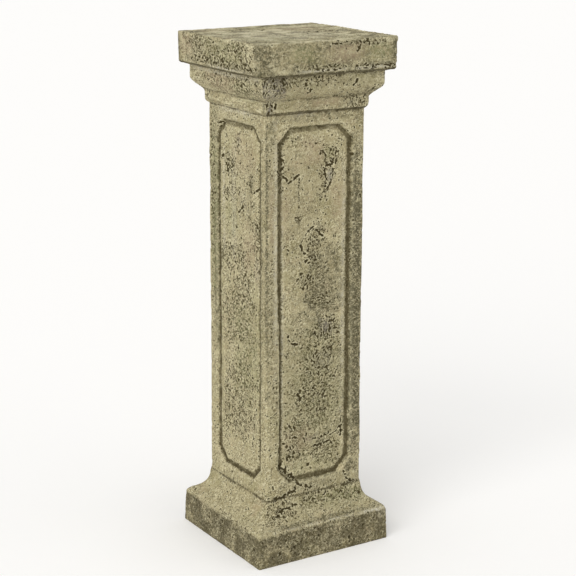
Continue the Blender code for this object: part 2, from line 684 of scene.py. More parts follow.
# The larger marks, each one by itself
SCARS: tuple[Pit | Crack, ...] = (
    Pit(F, 14, 793, 7, 7, 2.4),
    Crack(F, ((19, 765), (27, 768), (34, 772), (47, 771)), 3.2, 2.2),
    Crack(F, ((24, 764), (23, 752), (27, 742)), 3.4, 1.8),
    Crack(F, ((42, 762), (41, 748), (36, 736), (31, 728)), 3.0, 1.6),
    Crack(F, ((-58, 742), (-46, 750), (-35, 759)), 3.0, 2.0),
    Crack(F, ((-80, 794), (-71, 789), (-68, 778), (-74, 768)), 3.2, 1.8),
    Crack(F, ((-77, 760), (-66, 756), (-62, 748)), 3.0, 1.8),
    Crack(F, ((-31, 622), (-24, 634), (-16, 644), (-4, 653)), 3.6, 2.4),
    Crack(F, ((-31, 622), (-27, 613), (-21, 603)), 4.2, 2.6),
    Crack(F, ((4, 648), (10, 641), (19, 634)), 3.4, 2.2),
    Crack(F, ((-59, 447), (-57, 438), (-50, 430), (-36, 425)), 3.6, 2.6),
    Crack(F, ((-37, 324), (-31, 316), (-28, 308)), 4.6, 2.8),
    Crack(F, ((-23, 322), (-28, 315)), 4.0, 2.4),
    Crack(F, ((66, 262), (65, 250), (60, 240), (52, 233), (36, 227)), 2.6, 2.4),
    Crack(F, ((64, 243), (65, 234), (65, 224)), 5.4, 3.2),
    Crack(F, ((2, 228), (14, 226), (24, 230), (36, 232)), 4.0, 1.8),
    Crack(F, ((4, 213), (20, 212), (36, 216)), 4.6, 2.0),
    Crack(F, ((-74, 182), (-64, 172), (-54, 163), (-48, 155)), 8.0, 3.0),
    Crack(F, ((-40, 144), (-34, 138), (-29, 135)), 4.6, 2.4),
    Crack(F, ((-22, 137), (-17, 131), (-11, 126)), 4.6, 2.2),
    Crack(F, ((-86, 119), (-72, 121), (-58, 126), (-42, 130)), 6.5, 2.6),
    Pit(F, 92, 136, 28, 36, -2.2),
    Crack(F, ((72, 146), (75, 136), (83, 126), (96, 122)), 3.6, 2.2),
    Crack(F, ((-91, 88), (-83, 91), (-76, 95)), 5.5, 2.8),
    Crack(F, ((-68, 97), (-58, 99)), 4.5, 2.2),
    Crack(F, ((-54, 101), (-46, 101)), 4.0, 2.0),
    Crack(F, ((-16, 117), (-8, 127)), 4.6, 2.2),
    Crack(F, ((22, 104), (28, 113)), 4.6, 2.6),
    Crack(F, ((64, 922), (69, 928), (73, 933)), 3.6, 2.4),
    Crack(F, ((-33, 914), (-27, 920)), 4.0, 1.6),
    Pit(F, 12, 1003, 9, 4, 1.8),
    Pit(F, 23, 1003, 8, 4, 1.8),
    Pit(F, 84, 1004, 9, 4, 1.8),
    Crack(F, ((66, 998), (63, 988)), 4.6, 1.4),
    Crack(L, ((-74, 838), (-62, 840), (-52, 838)), 4.0, 2.4),
    Crack(L, ((-76, 762), (-68, 772), (-60, 776)), 4.4, 2.4),
    Crack(L, ((-46, 748), (-36, 756), (-24, 762)), 4.4, 2.4),
    Crack(L, ((44, 752), (46, 738), (44, 724)), 6.0, 0.9),
    Crack(L, ((-5, 672), (3, 679), (12, 686)), 4.6, 2.2),
    Crack(L, ((58, 662), (68, 658), (74, 650), (84, 642)), 5.0, 2.4),
    Pit(L, 68, 768, 5, 6, 2.2),
    Pit(L, 6, 742, 5, 6, 2.2),
    Pit(L, 52, 786, 7, 5, 2.0),
    Pit(L, 44, 792, 6, 5, 2.0),
    Crack(L, ((56, 722), (64, 726), (72, 730)), 4.4, 2.0),
    Crack(T, ((66, -6), (74, 2), (84, 8)), 9.0, 1.6),
    Crack(T, ((94, 4), (106, -6)), 9.0, 1.4),
    Crack(T, ((-20, -78), (-10, -66)), 8.0, 1.2),
    Crack(T, ((-14, 64), (2, 84)), 9.0, 1.2),
    Pit(R, -102, 395, 24, 9, 2.2),
)

# Broad dents and swells of the casting, which bend its silhouette
SWELLS: tuple[Pit, ...] = marks(Pit, {
    R: (
        (0, 1006, 420, 26, -1.8), (0, 951, 420, 34, 2.0), (0, 756, 300, 30, 1.2), (0, 480, 300, 100, 1.1),
        (0, 335, 300, 60, -1.0), (0, 180, 300, 110, -1.0),
    ),
    L: ((-108, 610, 40, 150, 1.2), (-108, 770, 40, 60, -1.0)),
})

# Patches of small pits
SWARMS: tuple[Swarm, ...] = marks(Swarm, {
    F: (
        (36, 788, 38, 40, 30), (-35, 708, 5, 84, 16, 2.6, 1.2), (-37, 672, 14, 20, 8, 3.4, 1.4),
        (30, 748, 34, 50, 16, 3.6, 1.3), (21, 721, 22, 32, 12, 4.4, 1.8, -30),
        (-75, 770, 20, 70, 18, 4.0, 1.4), (-2, 612, 32, 48, 22, 3.4, 1.6, -20),
        (-6, 588, 30, 20, 10, 4.6, 1.9, -35), (6, 636, 44, 30, 10, 3.2, 1.4),
        (-20, 548, 44, 26, 14, 4.4, 1.9, -35), (28, 508, 66, 26, 24, 3.4, 1.4, 80),
        (28, 448, 54, 54, 44, 3.8, 1.7), (22, 378, 76, 100, 70, 3.8, 1.7, -35),
        (12, 306, 110, 70, 60, 4.0, 1.7, -40), (-44, 212, 50, 40, 30, 4.2, 1.6, 10),
        (-36, 250, 60, 60, 14, 4.2, 1.8, 10), (30, 195, 60, 60, 16, 3.8, 1.5),
        (10, 108, 90, 30, 14, 4.0, 1.7, -20), (80, 104, 100, 30, 16, 3.6, 1.5),
        (-80, 97, 80, 40, 12, 3.8, 1.5, 15), (-16, 961, 110, 12, 38, 3.6, 1.6, 80),
        (100, 958, 100, 10, 36, 3.8, 1.8, 85), (46, 1003, 90, 8, 10, 3.6, 1.5, 70),
        (100, 1004, 60, 12, 14, 4.0, 1.6), (-110, 930, 60, 44, 50, 4.0, 1.6),
        (-50, 936, 120, 20, 22, 3.6, 1.5), (-110, 890, 40, 24, 16, 5.0, 2.0),
        (90, 890, 60, 26, 8, 3.6, 1.4),
    ),
    L: (
        (20, 964, 240, 18, 76, 4.6, 1.9, 70), (-60, 984, 150, 50, 44, 3.8, 1.6, 75),
        (70, 988, 120, 40, 36, 4.0, 1.7, 60), (30, 925, 200, 40, 50, 4.4, 1.7, 75),
        (-63, 838, 30, 24, 7, 3.6, 1.8), (-4, 808, 26, 36, 12, 3.6, 1.4), (-34, 762, 44, 50, 28, 4.2, 2.0),
        (-36, 703, 50, 30, 26, 4.4, 2.0), (-16, 580, 110, 60, 44, 4.4, 1.9),
        (66, 620, 30, 110, 22, 4.0, 1.8), (-96, 700, 18, 320, 60, 4.4, 1.6),
        (0, 470, 130, 160, 80, 4.0, 1.6), (0, 300, 130, 180, 80, 4.0, 1.6),
    ),
    T: ((84, 2, 60, 40, 16, 5.0, 1.4),),
    R: (
        (-24, 650, 90, 150, 34, 4.4, 1.7, -30), (26, 400, 80, 180, 40, 4.2, 1.7),
        (-30, 230, 70, 90, 20, 4.4, 1.8, 20), (20, 925, 160, 30, 24, 4.0, 1.6),
    ),
    B: (
        (20, 690, 90, 110, 28, 4.4, 1.7, 25), (-22, 470, 90, 170, 40, 4.2, 1.7, -20),
        (24, 240, 80, 90, 22, 4.4, 1.8), (-20, 968, 200, 24, 30, 4.2, 1.7),
    ),
})

# What lies on the stone, and where. A few dirt patches also hold painted shade, and one chalk line is a
# painted highlight.
PATCHES: dict[Tint, tuple[Stain, ...]] = {
    Tint.DIRT: marks(Stain, {
        F: (
            # The first patch lies at the right end of the slab's front, where its corner turns away from the
            # light. It and the patch at the slab's lower right corner, (128, 958), are dirt with painted
            # shade.
            (147, 976, 25, 110, 1.0), (0, 984, 300, 76, 0.5), (0, 100, 250, 60, 0.12),
            (0, 925, 270, 60, 0.2), (128, 958, 40, 14, 0.9), (-141, 984, 40, 90, 1.0),
            (-112, 984, 60, 80, 0.5), (-20, 968, 190, 44, 0.65), (124, 982, 26, 60, 0.45),
            (60, 962, 190, 26, 0.6), (68, 988, 20, 50, 0.5), (0, 1000, 290, 24, 0.6),
            (118, 908, 56, 28, 0.7), (40, 905, 170, 9, 0.4), (92, 480, 46, 760, 1.0),
            (-76, 345, 10, 330, 0.9), (-86, 345, 9, 400, 0.4), (0, 132, 190, 24, 0.4),
            (-108, 620, 6, 640, 1.0), (-30, 690, 120, 310, 0.22), (0, 867, 230, 26, 0.42),
            (0, 889, 250, 22, 0.3), (20, 540, 120, 180, 0.62), (-97, 560, 18, 640, 0.35),
            (0, 146, 150, 8, 0.7), (0, 140, 200, 14, 0.3), (-50, 340, 60, 400, 0.2),
            (48, 640, 40, 200, 0.12), (107, 500, 5, 700, 0.6), (0, 345, 160, 400, 0.3),
            (56, 345, 26, 300, 0.35), (-100, 840, 30, 70, 0.4), (20, 372, 60, 70, 0.3),
            (20, 226, 60, 34, 0.35), (0, 70.6, 300, 8, 0.7), (0, 62, 300, 7, 0.4),
        ),
        L: (
            (10, 962, 280, 11, 0.5), (86, 560, 9, 620, 0.85), (40, 680, 22, 260, 0.25),
            (96, 560, 14, 600, 0.2), (146, 980, 26, 80, 0.8), (-149, 980, 9, 90, 0.9),
            (60, 964, 200, 20, 0.2), (-40, 990, 190, 24, 0.2), (46, 736, 12, 40, 0.7),
            (-83, 620, 20, 520, 0.75), (107, 640, 8, 640, 1.0),
        ),
        R: ((-98, 500, 16, 640, 0.5),),
        B: ((98, 460, 16, 560, 0.5),),
    }),
    Tint.MOSS: marks(Stain, {
        F: (
            (-60, 988, 60, 40, 0.3), (110, 984, 60, 40, 0.35), (-20, 845, 50, 9, 0.5),
            (28, 790, 30, 30, 0.3), (0, 320, 160, 340, 0.14), (0, 170, 120, 50, 0.2),
            (60, 100, 150, 40, 0.25),
        ),
        L: (
            (20, 985, 160, 50, 0.25), (-92, 670, 30, 380, 0.4), (-30, 660, 60, 80, 0.3),
            (30, 400, 120, 220, 0.25), (60, 910, 100, 50, 0.2),
        ),
        T: ((20, 110, 120, 60, 0.3), (-90, -80, 120, 100, 0.25)),
        R: ((-20, 300, 150, 300, 0.3),),
        B: ((20, 330, 150, 300, 0.3),),
    }),
    Tint.SLATE: marks(Stain, {
        F: (
            (-112, 922, 70, 60, 0.4), (-112, 882, 40, 24, 0.45), (28, 452, 34, 36, 0.4),
            (18, 388, 40, 40, 0.2), (-4, 228, 44, 20, 0.25),
        ),
        L: ((70, 560, 30, 80, 0.2),),
        R: ((10, 740, 60, 90, 0.3),),
        B: ((-20, 600, 60, 120, 0.3),),
    }),
    Tint.ASH: marks(Stain, {
        F: ((34, 746, 17, 34, 0.5), (-30, 872, 70, 10, 0.3)),
        L: ((-4, 808, 16, 24, 0.3), (20, 700, 40, 60, 0.15)),
    }),
    Tint.CLAY: marks(Stain, {
        F: (
            (40, 985, 90, 40, 0.3), (0, 800, 60, 60, 0.3), (55, 700, 40, 120, 0.3),
            (-70, 680, 30, 100, 0.25), (-40, 230, 80, 50, 0.25), (20, 892, 80, 18, 0.35),
            (-98, 690, 16, 160, 0.3),
        ),
        L: (
            (-120, 985, 50, 50, 0.35), (-20, 925, 120, 40, 0.3), (20, 790, 90, 90, 0.2),
            (40, 610, 60, 100, 0.3),
        ),
        T: ((60, 60, 120, 100, 0.3), (-100, 110, 60, 60, 0.3)),
        R: ((30, 560, 90, 160, 0.3),),
        B: ((-30, 700, 90, 160, 0.3),),
    }),
    Tint.CHALK: marks(Stain, {
        F: (
            (100, 955.5, 90, 6, 0.7), (-10, 956, 120, 5, 0.55), (110, 66, 90, 6, 0.7),
            # The line at height 67 along the foot's shoulder, (0, 67), is a painted highlight on the arris.
            (138, 56, 20, 26, 0.5), (0, 67, 270, 3, 0.4), (-89, 610, 9, 480, 0.45), (-72, 500, 7, 640, 0.3),
            (66, 540, 9, 560, 0.35),
        ),
        L: (
            (40, 955, 160, 5, 0.5), (-58, 690, 10, 260, 0.3), (0, 870, 180, 12, 0.4),
            (0, 942, 260, 9, 0.45), (-20, 680, 22, 260, 0.2),
        ),
        T: ((-40, -20, 260, 200, 0.2),),
    }),
}

# Where a groove is narrower than elsewhere
PINCHED: tuple[Stain, ...] = marks(Stain, {
    F: ((-84, 330, 18, 340, 1.5), (84, 480, 18, 620, 0.35)),
    L: ((-84, 600, 18, 560, 1.5),),
})

# Where the wash in the grooves is worn off
FADED: tuple[Stain, ...] = marks(Stain, {
    L: ((-78, 560, 30, 640, 0.75), (0, 847, 190, 22, 0.45)),
    F: ((0, 847, 190, 22, 0.6), (-70, 165, 50, 40, 0.6), (0, 152, 150, 22, 0.25), (-79, 680, 18, 260, 0.2)),
})

# Where the stone has few fine pits
CLEAN: tuple[Stain, ...] = marks(Stain, {
    F: (
        (-38, 805, 66, 70, 0.9), (20, 828, 90, 20, 0.7), (-52, 712, 30, 70, 0.8), (-10, 716, 40, 40, 0.7),
        (46, 690, 44, 110, 0.8), (-46, 640, 34, 60, 0.6), (46, 612, 40, 60, 0.5), (-60, 480, 22, 120, 0.5),
        (0, 915, 120, 14, 0.5), (0, 890, 160, 14, 0.5), (50, 985, 60, 30, 0.6), (-10, 984, 90, 24, 0.5),
        (0, 864, 190, 22, 0.8), (-60, 984, 130, 40, 0.7), (70, 980, 130, 34, 0.7), (45, 560, 44, 120, 0.8),
        (-50, 560, 40, 80, 0.6), (-50, 380, 40, 100, 0.5), (50, 340, 20, 160, 0.5),
        (-98, 700, 14, 300, 0.5),
    ),
    L: (
        (-20, 690, 60, 30, 0.5), (10, 640, 70, 60, 0.7), (30, 790, 60, 60, 0.6), (30, 716, 40, 50, 0.5),
        (98, 700, 14, 300, 0.6),
    ),
})

# Where it has many
PITTED: tuple[Stain, ...] = marks(Stain, {
    F: (
        (0, 330, 170, 360, 0.6), (18, 380, 110, 240, 0.8), (20, 530, 100, 120, 0.8), (20, 690, 90, 90, 0.3),
        (0, 135, 200, 20, 0.3), (94, 480, 30, 720, 0.6), (-98, 600, 16, 500, 0.5), (0, 45, 310, 70, 0.5),
        (-4, 200, 130, 56, 0.5), (0, 100, 260, 50, 0.45), (0, 925, 260, 50, 0.3),
    ),
    L: (
        (-98, 600, 18, 560, 0.6), (0, 975, 300, 70, 0.5), (0, 925, 260, 50, 0.6), (10, 640, 140, 360, 0.6),
        (-84, 640, 50, 400, 0.5), (0, 45, 310, 70, 0.5),
    ),
})

# Where its grain is rubbed smooth
SMOOTH: tuple[Stain, ...] = marks(Stain, {
    F: (
        (0, 984, 300, 76, 0.85), (0, 915, 280, 90, 0.9), (0, 862, 200, 22, 0.5), (0, 720, 150, 270, 0.55),
        (45, 560, 60, 120, 0.5),
    ),
})

# Where the fine pits are level scratches
HATCHED: tuple[Stain, ...] = marks(Stain, {
    F: (
        (24, 520, 100, 110, 1.0), (94, 560, 26, 460, 0.9), (30, 340, 90, 60, 0.6), (-4, 200, 130, 56, 0.9),
        (-50, 590, 60, 90, 0.5), (0, 984, 300, 60, 0.5),
    ),
    L: ((0, 480, 120, 120, 0.6), (-98, 620, 20, 300, 0.6)),
})

# Level lines of dirt, and the damp foot. Under the slab and under the band the lines on the front and the
# right are stronger than on the left and the back: there they are dirt with painted shade from the overhang,
# on the sides away from the key light.
SEAMS: tuple[Seam, ...] = (
    # Under the slab: dirt in the undercut, and on the front and the right painted shade from the overhang
    # that fades 9 mm down.
    Seam((F, R), 950.0, 4.0, 9.0, 0.95, 0.6),
    Seam((L, B), 950.5, 3.0, 2.0, 1.0, 1.2),
    Seam((F, R), 929.0, 2.5, 2.5, 0.25),
    Seam((F, L, R, B), 901.0, 4.5, 4.5, 0.7),
    # Under the band: dirt, made darker on the front and the right by painted shade from the overhang.
    Seam((F, R), 875.6, 2.4, 1.6, 1.0, 1.0),
    Seam((L, B), 878.4, 2.0, 2.0, 0.45),
    Seam((F, L, R, B), 119.0, 3.0, 4.0, 0.85, 0.5),
    Seam((F, L, R, B), 18.0, 6.0, 8.0, 0.66, 42.5),
)


class Edge(IntEnum):
    """The random field that breaks up the edges of each kind of patch.

    The tints start at FIRST_TINT, and each lies TINT_STEP after the one before.
    """

    CLEAN = 34
    PITTED = 38
    PINCHED = 66
    HATCHED = 86
    FIRST_TINT = 90
    TINT_STEP = 5
    FADED = 130
    SMOOTH = 134


@dataclass(frozen=True)
class Ageing:
    """How hard the weather and the tools treated the casting.

    Where a strength is 1, the wave only says where something lies.

    Attributes:
        sway: the long waves of the surface.
        ripple: the short ones.
        grain: the rough grain.
        strokes: upright tool marks on the shaft.
        stroked: where they are strong.
        level_strokes: tool marks round the cap.
        cap: heights between which those marks take over from the upright ones.
        stroke_depth: depth of all of these marks.
        cap_strokes: how many times deeper they are on the cap.
        wander, waver, quiver: how the edges of a groove stray, over long, short and very short lengths.
        uneven_depth: how much the depth of a groove changes along it.
        wear: most that an arris is rounded back.
        rubbed: where it is.
        chip: most that is broken off an arris.
        broken: where it is.
        torn: what tears the edges of pits and cracks.
        draws: the number that the swarms of pits grow from.
        rim: height of the rims round the pits.
        pitted: where the stone is more finely pitted, or less.
        usually: how finely pitted it is in the mean, outside the patches.
        at_most: how finely pitted it gets there.
        swarm_edge: what breaks up the edge of a swarm.
        patch_edge: the same for all other patches, each with its own field.
        seam_edge: the same for the seams.
        pits: the scattered pits, large and small.
        unseen: how many times stronger the grain, the tool marks and the pitting are on the right side
            and the back.
        on_top: how many times deeper the scattered pits are on the top.
    """

    sway: Wave = Wave(0.8, 85.0, 1)
    ripple: Wave = Wave(0.3, 30.0, 2)
    grain: Wave = Wave(0.28, 8.0, 3, 3)
    strokes: Wave = Wave(1.0, (3.4, 3.4, 40.0), 8)
    stroked: Wave = Wave(1.0, 50.0, 9)
    level_strokes: Wave = Wave(1.0, (36.0, 36.0, 3.0), 10)
    cap: Point = (872.0, 884.0)
    stroke_depth: float = 0.3
    cap_strokes: float = 1.4
    wander: Wave = Wave(0.8, 38.0, 60)
    waver: Wave = Wave(0.7, 11.0, 61)
    quiver: Wave = Wave(0.5, 5.0, 63)
    uneven_depth: Wave = Wave(0.15, 45.0, 62)
    wear: float = 1.1
    rubbed: Wave = Wave(0.8, 26.0, 80, 3)
    chip: float = 2.2
    broken: Wave = Wave(1.0, 17.0, 84, 3)
    torn: Wave = Wave(1.0, 3.4, 70)
    draws: int = 77
    rim: float = 0.7
    pitted: Wave = Wave(0.5, 60.0, 12, 3)
    usually: float = 0.12
    at_most: float = 0.45
    swarm_edge: Wave = Wave(1.0, 22.0, 30, 3)
    patch_edge: Wave = Wave(1.0, 14.0, 0, 3)
    seam_edge: Wave = Wave(1.0, 20.0, 120, 3)
    pits: tuple[Pitting, Pitting] = (Pitting(2.4, 9.0, 0.22, 20), Pitting(1.5, 5.6, 0.5, 21))
    unseen: float = 0.7
    on_top: float = 0.6


@dataclass(frozen=True)
class Casting:
    """Builds the mesh of the aged casting from the outline, the panel and the marks.

    Attributes:
        outline: the casting's outline.
        panel: the panel that is sunk in each side of the shaft.
        ageing: how worn the surface is.
        noise: the random fields.
        columns: quads across a side.
        pinch: how much the groove loses on each side where it is pinched.
        beyond: most that the distance from a panel's edge is kept to.
        BLOCK_HALF: half width of the block that the mesh starts as.
        ROUNDING, BREAKING, SPREADING, HOLLOWS, RECESSES: how many times the skin is softened, to round
            the arrises, to break them, to spread the rims, and to find the small and the wide hollows.
    """

    outline: Outline
    panel: Panel
    ageing: Ageing
    noise: Noise
    columns: int
    pinch: float = 3.5
    beyond: float = 30.0
    BLOCK_HALF: ClassVar[float] = 1.0
    ROUNDING: ClassVar[int] = 6
    BREAKING: ClassVar[int] = 30
    SPREADING: ClassVar[int] = 3
    HOLLOWS: ClassVar[int] = 5
    RECESSES: ClassVar[int] = 60

    def block(self, rows: int) -> bpy.types.Mesh:
        """A block cut into a fine grid.

        Args:
            rows: quads from its underside to its top.

        Returns:
            The mesh, which reaches from minus BLOCK_HALF to BLOCK_HALF along each axis.
        """
        grid = bmesh.new()
        bmesh.ops.create_cube(grid, size=2 * self.BLOCK_HALF)
        for axis, pieces in ((2, rows), (0, self.columns), (1, self.columns)):
            edges = [
                edge
                for edge in grid.edges
                if abs(edge.verts[0].co[axis] - edge.verts[1].co[axis]) > self.BLOCK_HALF
            ]
            bmesh.ops.subdivide_edges(grid, edges=edges, cuts=pieces - 1, use_grid_fill=True)
        mesh = bpy.data.meshes.new("pedestal_stone")
        grid.to_mesh(mesh)
        grid.free()
        return mesh

    @staticmethod
    def neighbours(mesh: bpy.types.Mesh) -> Array:
        """The neighbours of each vertex.

        Args:
            mesh: the cut block.

        Returns:
            A row of four vertices for each vertex. One with three neighbours has one of them twice.
        """
        edges = np.empty(len(mesh.edges) * 2, np.int32)
        mesh.edges.foreach_get("vertices", edges)
        ends = edges.reshape(-1, 2)
        ends = np.concatenate([ends, ends[:, ::-1]])
        ends = ends[np.argsort(ends[:, 0], kind="stable")]
        count = np.bincount(ends[:, 0], minlength=len(mesh.vertices))
        first = np.concatenate([[0], np.cumsum(count)[:-1]])
        picks = first[:, None] + np.minimum(np.arange(4)[None, :], count[:, None] - 1)
        return ends[picks, 1]

    def draw_out(self, mesh: bpy.types.Mesh) -> Skin:
        """Draw the block out along the outline.

        Args:
            mesh: the cut block, whose vertices this moves.

        Returns:
            The skin of the plain casting.
        """
        half, height, corner = self.outline.rows()
        block = read_vectors(mesh.vertices, "co")
        row = np.rint((block[:, 2] / self.BLOCK_HALF + 1.0) / 2.0 * (len(half) - 1)).astype(np.int64)
        ring = np.maximum(np.abs(block[:, 0]), np.abs(block[:, 1]))
        upright = [side for side in Side if side is not Side.TOP]
        side = np.argmax(np.stack([block @ each.outward for each in upright]) > ring - 1e-6, axis=0)
        outward = np.array([each.outward for each in upright])[side]
        rightward = np.array([each.rightward for each in upright])[side]
        along = np.sum(block * rightward, axis=1) / np.maximum(ring, 1e-6) * half[row]
        straight = half[row] - corner[row]
        angle = np.clip(np.abs(along) - straight, 0.0, None) / corner[row] * math.pi / 4
        turned = np.sign(along) * (straight + corner[row] * np.sin(angle))
        right = np.where(angle > 0.0, turned, along) * ring
        out = (straight + corner[row] * np.cos(angle)) * ring
        place = outward * out[:, None] + rightward * right[:, None]
        place[:, 2] = height[row]
        write_vectors(mesh, place)
        normal = read_vectors(mesh.vertex_normals, "vector")
        side = np.where(ring < self.BLOCK_HALF - 1e-4, np.where(row == 0, -1, Side.TOP.index), side)
        axes = np.array([each.rightward for each in Side]), np.array([each.upward for each in Side])
        across, up = (np.sum(place * axis[side], axis=1) for axis in axes)
        return Skin(place, normal, side, across, up, self.neighbours(mesh))

    def sink_panels(self, skin: Skin) -> Array:
        """Sink the four panels.

        Args:
            skin: the mesh, which this moves.

        Returns:
            How far each vertex lies inside a panel's edge, negative outside it.
        """
        ageing, noise, place = self.ageing, self.noise, skin.place
        wander = noise.read(place, ageing.wander) + noise.read(place, ageing.waver)
        wander += noise.read(place, ageing.quiver) - self.patches(skin, PINCHED, Edge.PINCHED) * self.pinch
        inside = self.panel.inside(skin.across, skin.height) + wander
        inside = np.where(skin.on(Side.TOP) | (skin.side < 0), -self.beyond, inside)
        skin.sink(self.panel.depth(inside) * (1.0 + noise.read(place, ageing.uneven_depth)))
        return np.clip(inside, -self.beyond, self.beyond)

    def wear_arrises(self, skin: Skin) -> None:
        """Round the arrises unevenly, and break short lengths of them off.

        Args:
            skin: the mesh, which this moves.
        """
        soft = skin.softened(skin.place, self.ROUNDING)
        worn = skin.softened(soft, self.BREAKING)
        ageing, read = self.ageing, self.noise.read
        to_soft = np.clip(np.sum((skin.place - soft) * skin.normal, axis=1), 0.0, ageing.wear)
        to_worn = np.clip(np.sum((soft - worn) * skin.normal, axis=1), 0.0, ageing.chip)
        rubbed = np.clip(0.5 + read(skin.place, ageing.rubbed), 0.0, 1.0)
        broken = smooth_step(read(skin.place, ageing.broken), 0.16, 0.42)
        skin.sink(to_soft * rubbed + to_worn * broken)

    def carve_scars(self, skin: Skin) -> Array:
        """Raise and sink the slow swells, and cut the pits, the cracks and the flakes.

        Args:
            skin: the mesh, which this moves.

        Returns:
            How deep each vertex was cut.
        """
        draw = np.random.default_rng(self.ageing.draws)
        ragged = self.noise.read(skin.place, self.ageing.torn)
        self.carve(skin, SWELLS, ragged)
        swarms = tuple(pit for swarm in SWARMS for pit in swarm.pits(draw))
        return np.maximum(self.carve(skin, SCARS + swarms, ragged), 0.0)

    @staticmethod
    def carve(skin: Skin, scars: tuple[Pit | Crack, ...], ragged: Array) -> Array:
        """Cut these marks, and raise those that are lumps. Where two meet, the larger one counts.

        Args:
            skin: the mesh, which this moves.
            scars: the marks.
            ragged: noise that tears their edges, for each vertex.

        Returns:
            How far each vertex was sunk.
        """
        total = np.zeros(len(skin.place))
        for side in Side:
            on_side = np.flatnonzero(skin.on(side))
            across, height = skin.across[on_side], skin.height[on_side]
            for scar in scars:
                if scar.side is not side:
                    continue
                near = np.abs(across - scar.across) < scar.reach
                near &= np.abs(height - scar.height) < scar.reach
                at = on_side[near]
                depth = scar.depth(across[near], height[near], ragged[at])
                total[at] = np.where(np.abs(depth) > np.abs(total[at]), depth, total[at])
        skin.sink(total)
        return total

    def raise_rims(self, skin: Skin, cut: Array) -> Array:
        """Raise a low rim round the pits and cracks.

        Args:
            skin: the mesh, which this moves.
            cut: how deep each vertex was cut.

        Returns:
            How much of the rim each vertex has, from 0 to 1.
        """
        rim = np.clip(skin.softened(cut, self.SPREADING) - cut * 1.2, 0.0, 1.0)
        skin.sink(-rim * self.ageing.rim)
        return rim

    def fine_pitting(self, skin: Skin) -> Array:
        """How finely pitted the stone is.

        Args:
            skin: the mesh.

        Returns:
            One value for each vertex, from 0 to 1.
        """
        ageing, read = self.ageing, self.noise.read
        ragged = read(skin.place, ageing.swarm_edge)
        zone = np.clip(ageing.usually + read(skin.place, ageing.pitted), 0.0, ageing.at_most)
        for swarm in SWARMS:
            zone = np.maximum(zone, swarm.pitted().amount(skin, ragged))
        zone = np.maximum(zone, self.patches(skin, PITTED, Edge.PITTED))
        return zone * (1.0 - self.patches(skin, CLEAN, Edge.CLEAN))

    def roughen(self, skin: Skin, zone: Array) -> Array:
        """Add the waves, the tool marks, the grain and the scattered pits.

        Args:
            skin: the mesh.
            zone: how finely pitted each vertex is.

        Returns:
            How deep each vertex lies in a scattered pit.
        """
        ageing, noise, place = self.ageing, self.noise, skin.place.copy()
        plain = np.where(skin.on(Side.RIGHT, Side.BACK), ageing.unseen, 1.0)
        sway = noise.read(place, ageing.sway) + noise.read(place, ageing.ripple)
        grain = noise.read(place, ageing.grain)
        upright = noise.read(place, ageing.strokes) * noise.read(place, ageing.stroked)
        cap = smooth_step(place[:, 2], *ageing.cap)
        level = noise.read(place, ageing.level_strokes) * cap * ageing.cap_strokes
        streaks = (level + upright * (1.0 - cap)) * ageing.stroke_depth
        pitted = np.maximum(*(noise.pits(place, pitting, zone, plain) for pitting in ageing.pits))
        pitted = pitted * np.where(skin.on(Side.TOP), ageing.on_top, 1.0)
        skin.sink(np.where(skin.side < 0, 0.0, pitted - sway - (grain + streaks) * plain))
        return pitted

    def settle(self, skin: Skin) -> None:
        """Keep the underside flat on the ground and everything else above it."""
        on_ground = (skin.side < 0) | (~skin.on(Side.TOP) & (skin.height < 0.2))
        skin.place[:, 2] = np.where(on_ground, 0.0, np.maximum(skin.place[:, 2], 0.0))

    def patches(self, skin: Skin, patches: tuple[Stain, ...], field: int) -> Array:
        """How much of some patches each vertex has.

        Args:
            skin: the mesh.
            patches: the patches.
            field: the random field that breaks up their edges.

        Returns:
            One value for each vertex. Where patches overlap, the strongest counts.
        """
        ragged = self.noise.read(skin.place, replace(self.ageing.patch_edge, field=field))
        total = np.zeros(len(skin.place))
        for patch in patches:
            total = np.maximum(total, patch.amount(skin, ragged))
        return total

    def seams(self, skin: Skin) -> Array:
        """How dark the seams make each vertex: dirt, and under the overhangs painted shade."""
        uneven = self.noise.read(skin.place, self.ageing.seam_edge)
        return np.max([seam.amount(skin, uneven) for seam in SEAMS], axis=0)

    def build(self) -> bpy.types.Mesh:
        """The aged casting as a dense mesh, with the attributes that the material reads."""
        mesh = self.block(len(self.outline.rows()[0]) - 1)
        skin = self.draw_out(mesh)
        inside = self.sink_panels(skin)
        self.wear_arrises(skin)
        cut = self.carve_scars(skin)
        zone = self.fine_pitting(skin)
        cut = np.maximum(cut, self.roughen(skin, zone))
        rim = self.raise_rims(skin, cut)
        self.settle(skin)
        write_vectors(mesh, skin.place * MM)
        kept = {
            "hollow": skin.hollow(self.HOLLOWS),
            "recess": skin.hollow(self.RECESSES),
            "cut": cut,
            "rim": rim,
            "inside": inside,
            "seam": self.seams(skin),
            "zone": zone,
            "hatch": self.patches(skin, HATCHED, Edge.HATCHED),
            "faded": self.patches(skin, FADED, Edge.FADED),
            "smooth": self.patches(skin, SMOOTH, Edge.SMOOTH),
        }
        for number, tint in enumerate(Tint):
            field = Edge.FIRST_TINT + Edge.TINT_STEP * number
            kept[tint.attribute] = self.patches(skin, PATCHES[tint], field)
        for name, values in kept.items():
            write_floats(mesh, name, values)
        return mesh


def read_vectors(items: bpy.types.bpy_prop_collection, name: str) -> Array:
    """The vectors of a collection of mesh items as rows."""
    flat = np.empty(len(items) * 3, np.float32)
    items.foreach_get(name, flat)
    return flat.reshape(-1, 3).astype(np.float64)


def write_vectors(mesh: bpy.types.Mesh, rows: Array) -> None:
    """Move a mesh's vertices to these places."""
    mesh.vertices.foreach_set("co", np.ascontiguousarray(rows, np.float32).ravel())
    mesh.update()


